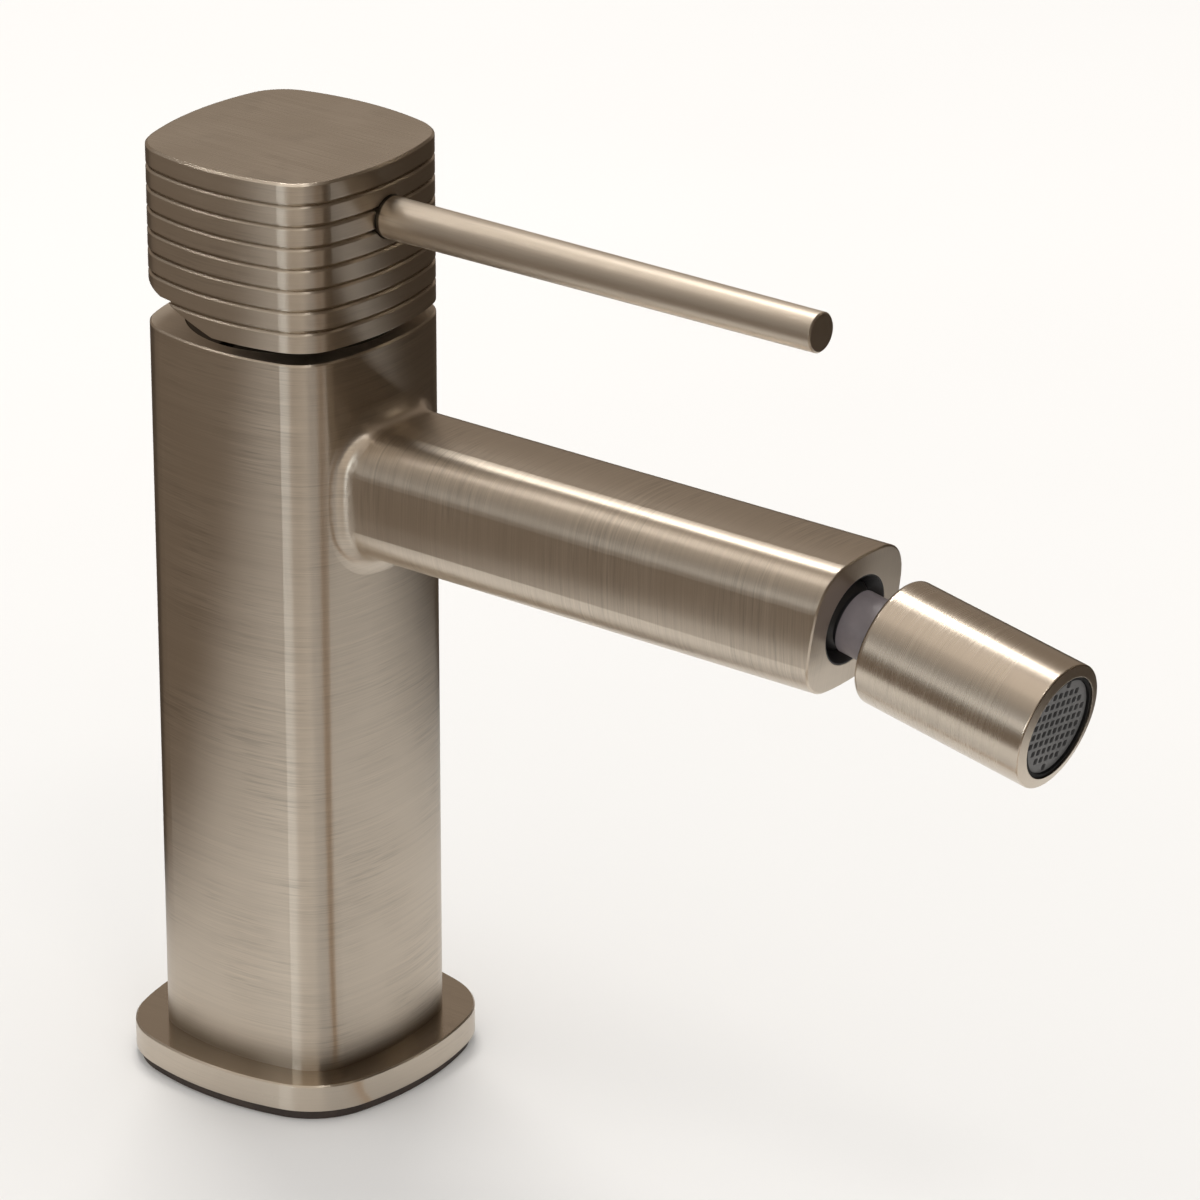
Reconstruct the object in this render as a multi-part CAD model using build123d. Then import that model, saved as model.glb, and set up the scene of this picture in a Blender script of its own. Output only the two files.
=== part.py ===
from build123d import *
import math
import os

# A single-lever bidet mixer: a soft square column and spout, a finned lever head and a ball-jointed nozzle.
# Lengths are in millimetres and angles in degrees. +Z is up, and the spout and the lever point to -Y.
# The origin is the middle of the mounting face, the underside of the foot gasket.

# Clearances and edges
overrun = 1.0  # how far a cutting solid runs past the face that it cuts
seat_gap = 0.05  # each side, between pieces that are screwed or pushed together
turn_gap = 0.05  # radial, round a pin, ball or neck that turns
slide_gap = 0.1  # between flat faces that slide on each other
free_gap = 0.3  # between pieces that pass each other
film_gap = 0.02  # between the two ceramic discs
edge_break = 0.3  # chamfer on the visible metal edges

# Cartridge: a 35 mm joystick cartridge with ceramic discs
cartridge_radius = 17.4
cartridge_gap = 0.2  # radial, between the cartridge and its bore
base_foot = 0.3  # gap under the base, closed by the port seals
base_height = 6.6
lower_disc_height = 4.0
upper_disc_height = 3.0
carrier_height = 4.4
yoke_flange_height = 5.1
yoke_flange_radius = 13.0
yoke_neck_radius = 10.5
yoke_rise = 6.0  # how far the yoke's neck stands above the housing's shoulder
housing_wall = 1.5
housing_roof = 2.5
housing_neck_wall = 3.2
housing_neck_rise = 5.2
pivot_rise = 7.5  # from the yoke's underside to the spindle's pin
lever_arm = 8.8  # from the pin down to the spindle's tip
lift_angle = 18.0  # how far the lever lifts, and the angle of the head's bevel
spindle_side = 8.0
spindle_drop = 4.0  # how far the square stem goes below the pin
arm_width = 7.6
arm_thickness = 2.8
tip_radius = 1.8
pin_radius = 1.5
pin_inset = 0.3
port_circle_radius = 9.0
port_width = 2.7
port_angle = 45.0  # angle between each inlet port and the -Y direction
port_span_angle = 40.0
outlet_offset = 2.0
outlet_radius = 3.0
pocket_radius = 7.2
pocket_depth = 1.6
window_width = 9.0
window_height = 3.6
window_sill = 1.2
locator_x = 11.0
locator_y = 6.0
locator_radius = 1.25
locator_drop = 2.5
seal_section = 1.2  # diameter of the cartridge's O-rings
port_seal_width = 1.6
port_seal_sink = 1.2  # how deep the port seals sit in the base

# Cartridge nut
nut_step = 1.85  # from the cartridge's bore out to the nut's bore
nut_height = 7.0
nut_recess = 0.2  # from the column's rim down to the nut's top
nut_lip = 1.6
nut_notch_count = 6
nut_notch_width = 3.0
nut_notch_depth = 1.8
nut_notch_length = 5.0

# Column and foot
column_height = 139.2
column_wall = 3.05  # at the nut's bore, in the middle of a side
side_bulge = 3.5  # how far each side swells past a plain square
corner_radius = 9.6
gasket_thickness = 2.0
gasket_inset = 1.0
flange_thickness = 5.2
flange_overhang = 6.1
spigot_radius = 17.0
chamber_step = 1.2
chamber_height = 13.4
feed_x = 7.5
feed_y = 6.0
feed_radius = 3.3
inlet_radius = 4.46  # core of an M10 x 1 thread
inlet_depth = 10.0
stud_y = 10.0
stud_radius = 3.32  # core of an M8 thread
stud_depth = 12.0

# Ball joint
ball_radius = 7.5
ball_depth = 6.0  # from the spout's end face in to the ball's centre
ball_cut = 5.8  # from the ball's centre back to its flat
ball_bore = 3.0
collar_wall = 0.85
collar_mouth = 0.2  # wall left at the collar's mouth
collar_lip = 3.4  # from the ball's centre out to the collar's lip
collar_tail = 1.5  # from the ball's centre back to the collar's inner end
seat_start = 1.8  # from the ball's centre back to the seat ring
seat_length = 5.2
seat_bore = 4.5
neck_root_radius = 5.3
neck_root_length = 6.2  # from the ball's centre to the neck's step
neck_radius = 5.8
neck_length = 14.1  # from the ball's centre to the nozzle
neck_thread_radius = 5.0
neck_thread_length = 6.0

# Spout
spout_drop = 26.9  # from the column's rim down to the spout's axis
spout_reach = 123.5
spout_side_wall = 4.55
spout_top_wall = 4.15
spout_bulge = 1.3
spout_corner = 8.0
root_fillet = 3.8
waterway_radius = 5.0
face_angle = 9.3  # how far the spout's end face looks down
nozzle_angle = 11.3  # how far the nozzle points down

# Nozzle and aerator
nozzle_length = 34.85
nozzle_wall = 2.05
nozzle_back_wall = 4.0
nozzle_round = 1.0
nozzle_lip = 0.35  # rounding of the front edge
nozzle_slope = 0.5  # how far the front face rises from its edge to the aerator
nozzle_throat = 8.2
aerator_radius = 9.4
aerator_length = 13.1
aerator_recess = 0.3
aerator_plate = 2.0
aerator_slot_count = 12
aerator_slot_length = 3.4
aerator_slot_width = 1.2
aerator_slot_circle_radius = 5.6
washer_thickness = 1.5
washer_bore = 7.0
neck_seal_width = 0.65
neck_seal_height = 1.0
grid_wall = 0.7  # from the grid's edge to the aerator's outside
grid_sink = 0.5
grid_thickness = 1.5
grid_step = 1.72
grid_hole = 1.18
grid_hole_round = 0.3
grid_rim = 0.3
grid_angle = 9.5  # how far the rows of holes are turned from level
sieve_height = 2.4
sieve_wall = 0.6
sieve_slot_count = 10
sieve_slot_width = 0.8

# Handle
head_gap = 2.25
head_height = 31.5
top_fin = 3.5
groove_count = 7
groove_step = 3.95
groove_width = 0.7
groove_depth = 1.0
fin_edge = 0.35
head_edge = 0.43
cavity_radius = 14.5
cavity_height = 9.0
spindle_grip = 7.5
grub_rise = 3.9
grub_radius = 2.5
grub_length = 10.0
grub_socket = 2.5
grub_socket_depth = 2.6
rod_drop = 10.2  # from the head's top down to the rod's axis
rod_root_radius = 3.88
rod_tip_radius = 3.6
rod_length = 93.1
rod_seat = 1.2
rod_gap = 0.15
rod_spigot_radius = 3.0
rod_spigot_length = 11.0
rod_edge = 0.3

# Radii and widths that follow from the sizes above
bore_radius = cartridge_radius + cartridge_gap
nut_bore_radius = bore_radius + nut_step
nut_radius = nut_bore_radius - seat_gap
column_half = nut_bore_radius + column_wall
housing_inner = cartridge_radius - housing_wall
housing_neck_bore = yoke_neck_radius + slide_gap
housing_neck_radius = housing_neck_bore + housing_neck_wall
disc_travel = lever_arm * math.sin(math.radians(lift_angle))
disc_offset = disc_travel / 2
disc_radius = housing_inner - disc_travel / 2 - free_gap
ball_cavity = ball_radius + turn_gap
collar_radius = ball_cavity + collar_wall
socket_radius = collar_radius + seat_gap
socket_depth = ball_depth + seat_start + seat_length + slide_gap
spout_half_width = socket_radius + spout_side_wall
spout_half_height = socket_radius + spout_top_wall
aerator_bore = aerator_radius + seat_gap
nozzle_radius = aerator_bore + nozzle_wall
grid_radius = aerator_radius - grid_wall
rod_seat_radius = rod_root_radius + rod_gap

# Levels above the mounting face
foot_top = gasket_thickness + flange_thickness
rim = foot_top + column_height
spout_height = rim - spout_drop
nut_top = rim - nut_recess
shoulder = nut_top - nut_height
roof_under = shoulder - housing_roof
yoke_flange_top = roof_under - slide_gap
yoke_bottom = yoke_flange_top - yoke_flange_height
yoke_top = shoulder + yoke_rise
carrier_top = yoke_bottom - slide_gap
disc_top = carrier_top - carrier_height
disc_bottom = disc_top - upper_disc_height
lower_disc_top = disc_bottom - film_gap
base_top = lower_disc_top - lower_disc_height
base_bottom = base_top - base_height
seat = base_bottom - base_foot
pivot = yoke_bottom + pivot_rise
tip = pivot - lever_arm
head_bottom = rim + head_gap
head_top = head_bottom + head_height
cavity_top = head_bottom + cavity_height
spindle_top = cavity_top + spindle_grip
grub_level = cavity_top + grub_rise
rod_level = head_top - rod_drop

# Places along the nozzle, from the ball's centre
nozzle_front = neck_length + nozzle_length
chamber_start = neck_length + nozzle_back_wall
insert_front = nozzle_front - aerator_recess
insert_back = insert_front - aerator_length
ledge = insert_back - washer_thickness
grid_front = insert_front - grid_sink
grid_back = grid_front - grid_thickness


def facing(angle):
    """Direction that looks to -Y and down by angle degrees."""
    return (0, -math.cos(math.radians(angle)), -math.sin(math.radians(angle)))


face_frame = Plane(origin=(0, -spout_reach, spout_height), x_dir=(1, 0, 0), z_dir=facing(face_angle))
collar_frame = face_frame.offset(-ball_depth)
nozzle_frame = Plane(origin=collar_frame.origin, x_dir=(1, 0, 0), z_dir=facing(nozzle_angle))
rod_frame = Plane(origin=(0, -column_half, rod_level), x_dir=(1, 0, 0), z_dir=facing(0))


def soft_outline(half_width, half_depth, bulge, corner):
    """Rectangle with swollen sides and rounded corners."""
    x = half_width - bulge
    y = half_depth - bulge
    sides = [
        ThreePointArc((x, -y), (half_width, 0), (x, y)),
        ThreePointArc((x, y), (0, half_depth), (-x, y)),
        ThreePointArc((-x, y), (-half_width, 0), (-x, -y)),
        ThreePointArc((-x, -y), (0, -half_depth), (x, -y)),
    ]
    outline = make_face(sides)
    return fillet(outline.vertices(), corner)


def column_outline(growth=0):
    """The column's outline, moved outwards by growth on every side."""
    chord = column_half - side_bulge
    side_radius = (chord**2 + side_bulge**2) / (2 * side_bulge)
    centre = column_half - side_radius
    grown_radius = side_radius + growth
    corner = (centre + math.sqrt(2 * grown_radius**2 - centre**2)) / 2
    half = column_half + growth
    return soft_outline(half, half, half - corner, corner_radius + growth)


def slab(outline, bottom, top, top_edge):
    """Outline raised from bottom to top, with its upper edge chamfered."""
    plate = extrude(Pos(0, 0, bottom) * outline, top - bottom)
    upper = plate.faces().sort_by(Axis.Z)[-1]
    return chamfer(upper.outer_wire().edges(), top_edge)


def turned(points):
    """Solid turned about Z from (radius, height) points."""
    profile = make_face(Polyline([(radius, 0, height) for radius, height in points], close=True))
    return revolve(profile, Axis.Z)


def disc(radius, bottom, top):
    """Round disc or rod from bottom to top."""
    return extrude(Pos(0, 0, bottom) * Circle(radius), top - bottom)


def ring(outer, inner, bottom, top):
    """Round ring from bottom to top."""
    return extrude(Pos(0, 0, bottom) * (Circle(outer) - Circle(inner)), top - bottom)


def block(width, depth, bottom, top):
    """Rectangular block about the Z axis."""
    return extrude(Pos(0, 0, bottom) * Rectangle(width, depth), top - bottom)


def spout_root_edges(casting):
    """Edges where the spout meets the column's front."""
    found = []
    for edge in casting.edges():
        box = edge.bounding_box()
        inside_width = max(abs(box.min.X), abs(box.max.X)) < spout_half_width + overrun
        above = box.min.Z > spout_height - spout_half_height - overrun
        below = box.max.Z < spout_height + spout_half_height + overrun
        on_front = box.min.Y > -column_half - overrun and box.max.Y < -seat_gap
        if inside_width and above and below and on_front:
            found.append(edge)
    return found


def body():
    """Column and spout, one casting, with its bores."""
    column = slab(column_outline(), foot_top, rim, edge_break)
    section = soft_outline(spout_half_width, spout_half_height, spout_bulge, spout_corner)
    spout_start = Plane(origin=(0, 0, spout_height), x_dir=(1, 0, 0), z_dir=facing(0))
    spout = extrude(spout_start * section, spout_reach + spout_half_height)
    spout = split(spout, bisect_by=face_frame, keep=Keep.BOTTOM)
    casting = column + spout
    casting = fillet(spout_root_edges(casting), root_fillet)
    end_face = casting.faces().sort_by(Axis.Y)[0]
    casting = chamfer(end_face.outer_wire().edges(), edge_break)
    casting += disc(spigot_radius, 0, foot_top)
    casting -= disc(nut_bore_radius, shoulder - free_gap, rim + overrun)
    casting -= disc(bore_radius, seat, shoulder)
    casting -= disc(bore_radius + chamber_step, seat, seat + chamber_height)
    for side in (-1, 1):
        inlet = Pos(side * feed_x, -feed_y, 0)
        casting -= inlet * disc(feed_radius, 0, seat + overrun)
        casting -= inlet * disc(inlet_radius, -overrun, inlet_depth)
        locator = Pos(side * locator_x, locator_y, 0)
        locator_floor = base_bottom - locator_drop - free_gap
        casting -= locator * disc(locator_radius + seat_gap, locator_floor, seat + overrun)
    casting -= Pos(0, stud_y, 0) * disc(stud_radius, -overrun, stud_depth)
    casting -= face_frame.location * disc(socket_radius, -socket_depth, overrun)
    waterway = extrude(spout_start * Circle(waterway_radius), spout_reach - socket_depth)
    casting -= waterway
    return casting


def base_flange():
    """Foot plate between the column and the gasket."""
    plate = slab(column_outline(flange_overhang), gasket_thickness, foot_top, edge_break)
    return plate - disc(spigot_radius + seat_gap, 0, rim)


def base_gasket():
    """Seal under the flange."""
    outline = column_outline(flange_overhang - gasket_inset)
    sheet = extrude(outline, gasket_thickness)
    return sheet - disc(spigot_radius + free_gap, -overrun, gasket_thickness + overrun)


def cartridge_nut():
    """Ring nut with notches for a pin spanner."""
    lip_under = nut_top - nut_lip
    lip_bore = yoke_neck_radius + slide_gap + free_gap
    nut = ring(nut_radius, housing_neck_radius + cartridge_gap, shoulder, lip_under)
    nut += ring(nut_radius, lip_bore, lip_under, nut_top)
    upper = nut.faces().sort_by(Axis.Z)[-1]
    nut = chamfer(upper.outer_wire().edges(), edge_break)
    notch = block(nut_notch_length, nut_notch_width, nut_top - nut_notch_depth, nut_top + overrun)
    for place in PolarLocations(nut_radius, nut_notch_count):
        nut -= place * notch
    return nut


def cartridge_housing():
    """Outer shell of the cartridge, with a groove for its seal."""
    shell = ring(cartridge_radius, housing_inner, base_top, roof_under)
    shell += ring(cartridge_radius, housing_neck_bore, roof_under, shoulder)
    shell += ring(housing_neck_radius, housing_neck_bore, shoulder, shoulder + housing_neck_rise)
    groove_level = seal_level()
    groove = ring(
        cartridge_radius + overrun,
        bore_radius - seal_section - seat_gap,
        groove_level - seal_section / 2 - seat_gap,
        groove_level + seal_section / 2 + seat_gap,
    )
    return shell - groove


def seal_level():
    """Height of the housing's seal, above the water chamber."""
    return (seat + chamber_height + shoulder - free_gap) / 2


def housing_seal():
    """O-ring between the housing and the column's bore."""
    section = seal_section / 2
    return Pos(0, 0, seal_level()) * Torus(bore_radius - section - film_gap, section)


def yoke_seal_level():
    """Height of the yoke's seal, between the pin and the housing's neck end."""
    return (pivot + pin_radius + shoulder + housing_neck_rise) / 2


def turning_yoke():
    """Part of the cartridge that turns with the lever and carries its pin."""
    yoke = disc(yoke_flange_radius, yoke_bottom, yoke_flange_top)
    yoke += disc(yoke_neck_radius, yoke_flange_top, yoke_top)
    lift = math.radians(lift_angle)
    stem_reach = spindle_side / 2 / math.cos(lift) + (yoke_top - pivot) * math.tan(lift)
    arm_reach = arm_thickness / 2 / math.cos(lift) + pivot_rise * math.tan(lift)
    drop_reach = spindle_side / 2 * math.cos(lift) + spindle_drop * math.sin(lift)
    slot_half = max(stem_reach, arm_reach, drop_reach) + free_gap
    yoke -= block(spindle_side + 2 * free_gap, 2 * slot_half, yoke_bottom - overrun, yoke_top + overrun)
    pin_hole = Pos(0, 0, pivot) * Rot(0, 90, 0) * Cylinder(pin_radius + film_gap, 2 * yoke_neck_radius)
    groove_half = seal_section / 2 + seat_gap
    groove = ring(
        yoke_neck_radius + overrun,
        yoke_neck_radius - seal_section,
        yoke_seal_level() - groove_half,
        yoke_seal_level() + groove_half,
    )
    return yoke - pin_hole - groove


def yoke_seal():
    """O-ring round the yoke's neck."""
    section = seal_section / 2 - film_gap
    return Pos(0, 0, yoke_seal_level()) * Torus(yoke_neck_radius - section, section)


def spindle_pin():
    """Pin that the spindle rocks on."""
    return Pos(0, 0, pivot) * Rot(0, 90, 0) * Cylinder(pin_radius, 2 * (yoke_neck_radius - pin_inset))


def lever_spindle():
    """Square stem with a thin arm below it that ends in a round tip."""
    stem = block(spindle_side, spindle_side, pivot - spindle_drop, spindle_top)
    upper = stem.faces().sort_by(Axis.Z)[-1]
    stem = chamfer(upper.edges(), edge_break)
    stem += block(arm_width, arm_thickness, tip, pivot)
    stem += Pos(0, 0, tip) * Rot(0, 90, 0) * Cylinder(tip_radius, arm_width)
    return stem - Pos(0, 0, pivot) * Rot(0, 90, 0) * Cylinder(pin_radius + turn_gap, 2 * spindle_side)


def disc_carrier():
    """Plate that the spindle's tip pushes to and fro."""
    plate = Pos(0, disc_offset, 0) * disc(disc_radius, disc_top, carrier_top)
    slot_floor = tip - tip_radius - free_gap
    slot_width = arm_width + 2 * free_gap
    slot_depth = 2 * (tip_radius + slide_gap)
    return plate - block(slot_width, slot_depth, slot_floor, carrier_top + overrun)


def upper_disc():
    """Moving ceramic disc with its mixing pocket."""
    plate = Pos(0, disc_offset, 0) * disc(disc_radius, disc_bottom, disc_top)
    return plate - disc(pocket_radius, disc_bottom - overrun, disc_bottom + pocket_depth)


def inlet_port(side, bottom, top):
    """Curved slot of one inlet."""
    start = -90 + side * port_angle - port_span_angle / 2
    path = CenterArc((0, 0), port_circle_radius, start, port_span_angle)
    return extrude(Pos(0, 0, bottom) * SlotArc(path, port_width), top - bottom)


def lower_disc():
    """Fixed ceramic disc with two inlet ports and the outlet."""
    plate = disc(housing_inner - free_gap, base_top, lower_disc_top)
    for side in (-1, 1):
        plate -= inlet_port(side, base_top - overrun, lower_disc_top + overrun)
    outlet = disc(outlet_radius, base_top - overrun, lower_disc_top + overrun)
    return plate - Pos(0, outlet_offset, 0) * outlet


def cartridge_base():
    """Base with two inlets, a side outlet, seal grooves and locating pins."""
    base = disc(cartridge_radius, base_bottom, base_top)
    sill = base_bottom + window_sill
    for side in (-1, 1):
        inlet = Pos(side * feed_x, -feed_y, 0)
        base -= inlet * disc(feed_radius, base_bottom - overrun, base_top + overrun)
        groove_radius = feed_radius + port_seal_width + seat_gap
        base -= inlet * disc(groove_radius, base_bottom - overrun, base_bottom + port_seal_sink)
        locator = Pos(side * locator_x, locator_y, 0)
        base += locator * disc(locator_radius, base_bottom - locator_drop, base_bottom + overrun)
    base -= Pos(0, outlet_offset, 0) * disc(outlet_radius, sill, base_top + overrun)
    window = block(window_width, cartridge_radius + overrun, sill, sill + window_height)
    return base - Pos(0, outlet_offset + (cartridge_radius + overrun) / 2, 0) * window


def port_seals():
    """Seals between the base and the column, one on each inlet."""
    seal = ring(feed_radius + port_seal_width, feed_radius, seat, base_bottom + port_seal_sink)
    return Compound(children=[Pos(side * feed_x, -feed_y, 0) * seal for side in (-1, 1)])


def ball_collar():
    """Collar that screws into the spout's end and holds the ball."""
    lip_radius = math.sqrt(ball_cavity**2 - collar_lip**2)
    mouth = ball_depth - seat_gap
    outside = disc(collar_radius, -collar_tail, mouth)
    cone = turned(
        [
            (0, collar_lip - overrun),
            (lip_radius, collar_lip - overrun),
            (lip_radius, collar_lip),
            (collar_radius - collar_mouth, mouth),
            (collar_radius - collar_mouth, mouth + overrun),
            (0, mouth + overrun),
        ]
    )
    collar = outside - cone - Sphere(ball_cavity) - disc(ball_cavity, -collar_tail - overrun, 0)
    return collar_frame.location * collar


def ball_seat_ring():
    """Seal ring that the ball turns on."""
    outer = socket_radius - turn_gap
    seat_ring = ring(outer, seat_bore, -seat_start - seat_length, -seat_start)
    return collar_frame.location * (seat_ring - Sphere(ball_cavity))


def swivel_ball():
    """Hollow ball with the neck that carries the nozzle."""
    ball = Sphere(ball_radius) - disc(ball_radius + overrun, -ball_radius - overrun, -ball_cut)
    neck_end = neck_length + neck_thread_length
    neck = turned(
        [
            (0, 0),
            (neck_root_radius, 0),
            (neck_root_radius, neck_root_length),
            (neck_radius, neck_root_length),
            (neck_radius, neck_length),
            (neck_thread_radius, neck_length),
            (neck_thread_radius, neck_end - edge_break),
            (neck_thread_radius - edge_break, neck_end),
            (0, neck_end),
        ]
    )
    flare = turned(
        [
            (0, -ball_cut - overrun),
            (seat_bore, -ball_cut - overrun),
            (ball_bore, -ball_bore),
            (0, -ball_bore),
        ]
    )
    bore = disc(ball_bore, -ball_cut - overrun, neck_end + overrun)
    return nozzle_frame.location * (ball + neck - bore - flare)


def neck_seal():
    """Seal ring between the neck's shoulder and the nozzle."""
    seal = ring(
        neck_thread_radius + neck_seal_width,
        neck_thread_radius + film_gap,
        neck_length,
        neck_length + neck_seal_height - seat_gap,
    )
    return nozzle_frame.location * seal


def nozzle_shell():
    """Round metal nozzle, tapped at the back and bored for the aerator."""
    shell = turned(
        [
            (0, neck_length),
            (nozzle_radius, neck_length),
            (nozzle_radius, nozzle_front - nozzle_slope),
            (aerator_bore, nozzle_front),
            (0, nozzle_front),
        ]
    )
    front_edge = shell.edges().filter_by(GeomType.CIRCLE).sort_by(Axis.Z)[1]
    shell = fillet(front_edge, nozzle_lip)
    back_edge = shell.edges().filter_by(GeomType.CIRCLE).sort_by(Axis.Z)[0]
    shell = fillet(back_edge, nozzle_round)
    shell -= disc(neck_thread_radius + seat_gap, neck_length - overrun, chamber_start + overrun)
    seal_outside = neck_thread_radius + neck_seal_width + film_gap
    shell -= disc(seal_outside, neck_length - overrun, neck_length + neck_seal_height)
    shell -= disc(nozzle_throat, chamber_start, ledge + overrun)
    shell -= disc(aerator_bore, ledge, nozzle_front + overrun)
    return nozzle_frame.location * shell


def aerator_washer():
    """Seal between the nozzle's ledge and the aerator."""
    return nozzle_frame.location * ring(aerator_radius, washer_bore, ledge, insert_back)


def aerator_insert():
    """Aerator housing: a ring of slots behind a pocket for the outlet grid."""
    insert = disc(aerator_radius, insert_back, insert_front)
    insert -= disc(grid_radius + seat_gap, grid_back, insert_front + overrun)
    insert -= disc(grid_radius - grid_wall, insert_back + aerator_plate, grid_back + overrun)
    for place in PolarLocations(aerator_slot_circle_radius, aerator_slot_count):
        slot = SlotOverall(aerator_slot_length, aerator_slot_width)
        insert -= place * extrude(Pos(0, 0, insert_back - overrun) * slot, aerator_plate + 2 * overrun)
    return nozzle_frame.location * insert


def outlet_grid():
    """Outlet screen with rows of square holes, with no row on its middle line."""
    sheet = Circle(grid_radius)
    reach = grid_radius - grid_rim
    steps = int(reach / grid_step) + 1
    hole = RectangleRounded(grid_hole, grid_hole, grid_hole_round)
    holes = []
    for column in range(-steps, steps + 1):
        for row in range(-steps, steps):
            x = column * grid_step
            y = row * grid_step + grid_step / 2
            corner = math.hypot(abs(x) + grid_hole / 2, abs(y) + grid_hole / 2)
            if corner < reach:
                holes.append(Pos(x, y) * hole)
    screen = extrude(Pos(0, 0, grid_back) * Rot(0, 0, -grid_angle) * (sheet - holes), grid_thickness)
    return nozzle_frame.location * screen


def inlet_sieve():
    """Domed sieve on the aerator's inlet, with radial slots."""
    rim_radius = washer_bore - seat_gap
    dome_radius = (rim_radius**2 + sieve_height**2) / (2 * sieve_height)
    centre = insert_back - sieve_height + dome_radius
    dome = Pos(0, 0, centre) * (Sphere(dome_radius) - Sphere(dome_radius - sieve_wall))
    dome &= disc(rim_radius, insert_back - sieve_height - overrun, insert_back)
    slot_length = rim_radius / 2
    for place in PolarLocations(rim_radius / 2, sieve_slot_count):
        slot = SlotOverall(slot_length, sieve_slot_width)
        bottom = insert_back - sieve_height - overrun
        dome -= place * extrude(Pos(0, 0, bottom) * slot, sieve_height + 2 * overrun)
    return nozzle_frame.location * dome


def finned_block():
    """The head's outside: a core with a stack of fins."""
    core = extrude(Pos(0, 0, head_bottom) * column_outline(-groove_depth), head_height - edge_break)
    fins = core + slab(column_outline(), head_top - top_fin, head_top, head_edge)
    fin_top = head_top - top_fin - groove_width
    for index in range(groove_count):
        last = index == groove_count - 1
        fin_bottom = head_bottom if last else fin_top - groove_step + groove_width
        fins += slab(column_outline(), fin_bottom, fin_top, fin_edge)
        fin_top -= groove_step
    return fins


def handle_head():
    """Finned head, bevelled at the back so that it can tilt."""
    head = finned_block()
    lift = math.radians(lift_angle)
    bevel = Plane(origin=(0, 0, head_bottom), x_dir=(1, 0, 0), z_dir=(0, math.sin(lift), -math.cos(lift)))
    head = split(head, bisect_by=bevel, keep=Keep.BOTTOM)
    head -= disc(cavity_radius, head_bottom - overrun, cavity_top)
    socket_side = spindle_side + 2 * seat_gap
    head -= block(socket_side, socket_side, cavity_top - overrun, spindle_top + free_gap)
    head -= rod_frame.location * disc(rod_seat_radius, -rod_seat, overrun)
    head -= rod_frame.location * disc(rod_spigot_radius + seat_gap, -rod_spigot_length - free_gap, 0)
    grub_frame = Plane(origin=(0, 0, grub_level), x_dir=(1, 0, 0), z_dir=(0, 1, 0))
    head -= grub_frame.location * disc(grub_radius + seat_gap, 0, column_half + overrun)
    return head


def handle_grub_screw():
    """Set screw with a hexagon socket that clamps the head on the spindle."""
    grub_frame = Plane(origin=(0, spindle_side / 2, grub_level), x_dir=(1, 0, 0), z_dir=(0, 1, 0))
    screw = disc(grub_radius, 0, grub_length)
    socket = RegularPolygon(grub_socket / 2, 6, major_radius=False)
    bottom = grub_length - grub_socket_depth
    screw -= extrude(Pos(0, 0, bottom) * socket, grub_socket_depth + overrun)
    return grub_frame.location * screw


def lever_rod():
    """Slim round lever that tapers to a flat end."""
    rod = turned(
        [
            (0, -rod_spigot_length),
            (rod_spigot_radius - rod_edge, -rod_spigot_length),
            (rod_spigot_radius, -rod_spigot_length + rod_edge),
            (rod_spigot_radius, -rod_seat),
            (rod_root_radius, -rod_seat),
            (rod_root_radius, 0),
            (rod_tip_radius, rod_length - rod_edge),
            (rod_tip_radius - rod_edge, rod_length),
            (0, rod_length),
        ]
    )
    return rod_frame.location * rod


pieces = [
    body,
    base_flange,
    base_gasket,
    cartridge_nut,
    cartridge_housing,
    housing_seal,
    turning_yoke,
    yoke_seal,
    spindle_pin,
    lever_spindle,
    disc_carrier,
    upper_disc,
    lower_disc,
    cartridge_base,
    port_seals,
    ball_collar,
    ball_seat_ring,
    swivel_ball,
    neck_seal,
    nozzle_shell,
    aerator_washer,
    aerator_insert,
    outlet_grid,
    inlet_sieve,
    handle_head,
    handle_grub_screw,
    lever_rod,
]

os.makedirs("parts", exist_ok=True)
for piece in pieces:
    export_step(piece(), f"parts/{piece.__name__}.step")
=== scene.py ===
"""Looks of a single-lever bidet mixer in warm brushed nickel.

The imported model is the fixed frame. Each sub-assembly is a class that dresses its nodes, and the
studio is built round them. Lengths are in metres, with +Z up and the spout pointing to -Y.
"""

import logging
import math
from dataclasses import dataclass
from enum import Enum

import bpy
from mathutils import Matrix, Vector

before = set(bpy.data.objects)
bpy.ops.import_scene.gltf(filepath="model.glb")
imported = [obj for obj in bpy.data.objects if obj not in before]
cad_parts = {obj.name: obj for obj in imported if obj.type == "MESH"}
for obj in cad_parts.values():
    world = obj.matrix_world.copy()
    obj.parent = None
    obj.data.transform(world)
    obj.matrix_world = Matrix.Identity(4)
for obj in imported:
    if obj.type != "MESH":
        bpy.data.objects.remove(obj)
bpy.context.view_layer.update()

log = logging.getLogger("bidet_mixer")

Socket = bpy.types.NodeSocket
Span = tuple[float, float]
Triple = tuple[float, float, float]
Feed = float | Triple | Socket

MM = 0.001
BEVEL_SAMPLES = 4
UP: Triple = (0.0, 0.0, 1.0)
ACROSS: Triple = (1.0, 0.0, 0.0)
FORWARD: Triple = (0.0, -1.0, 0.0)
BACKWARD: Triple = (0.0, 1.0, 0.0)
UNIT: Span = (0.0, 1.0)
# Ranges that hold most of a noise's values, and nearly all of them.
MOST: Span = (0.3, 0.7)
NEARLY_ALL: Span = (0.2, 0.8)
STEEL: Triple = (0.5, 0.49, 0.47)
WHITE: Triple = (1.0, 1.0, 1.0)
SOFT_WHITE: Triple = (1.0, 0.98, 0.95)
COOL_WHITE: Triple = (0.9, 0.96, 1.0)
WARM_WHITE: Triple = (1.0, 0.9, 0.78)


class Lay(Enum):
    """How brush lines run on a piece: in rings around its axis, or straight along it."""

    AROUND = "around"
    ALONG = "along"


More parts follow.
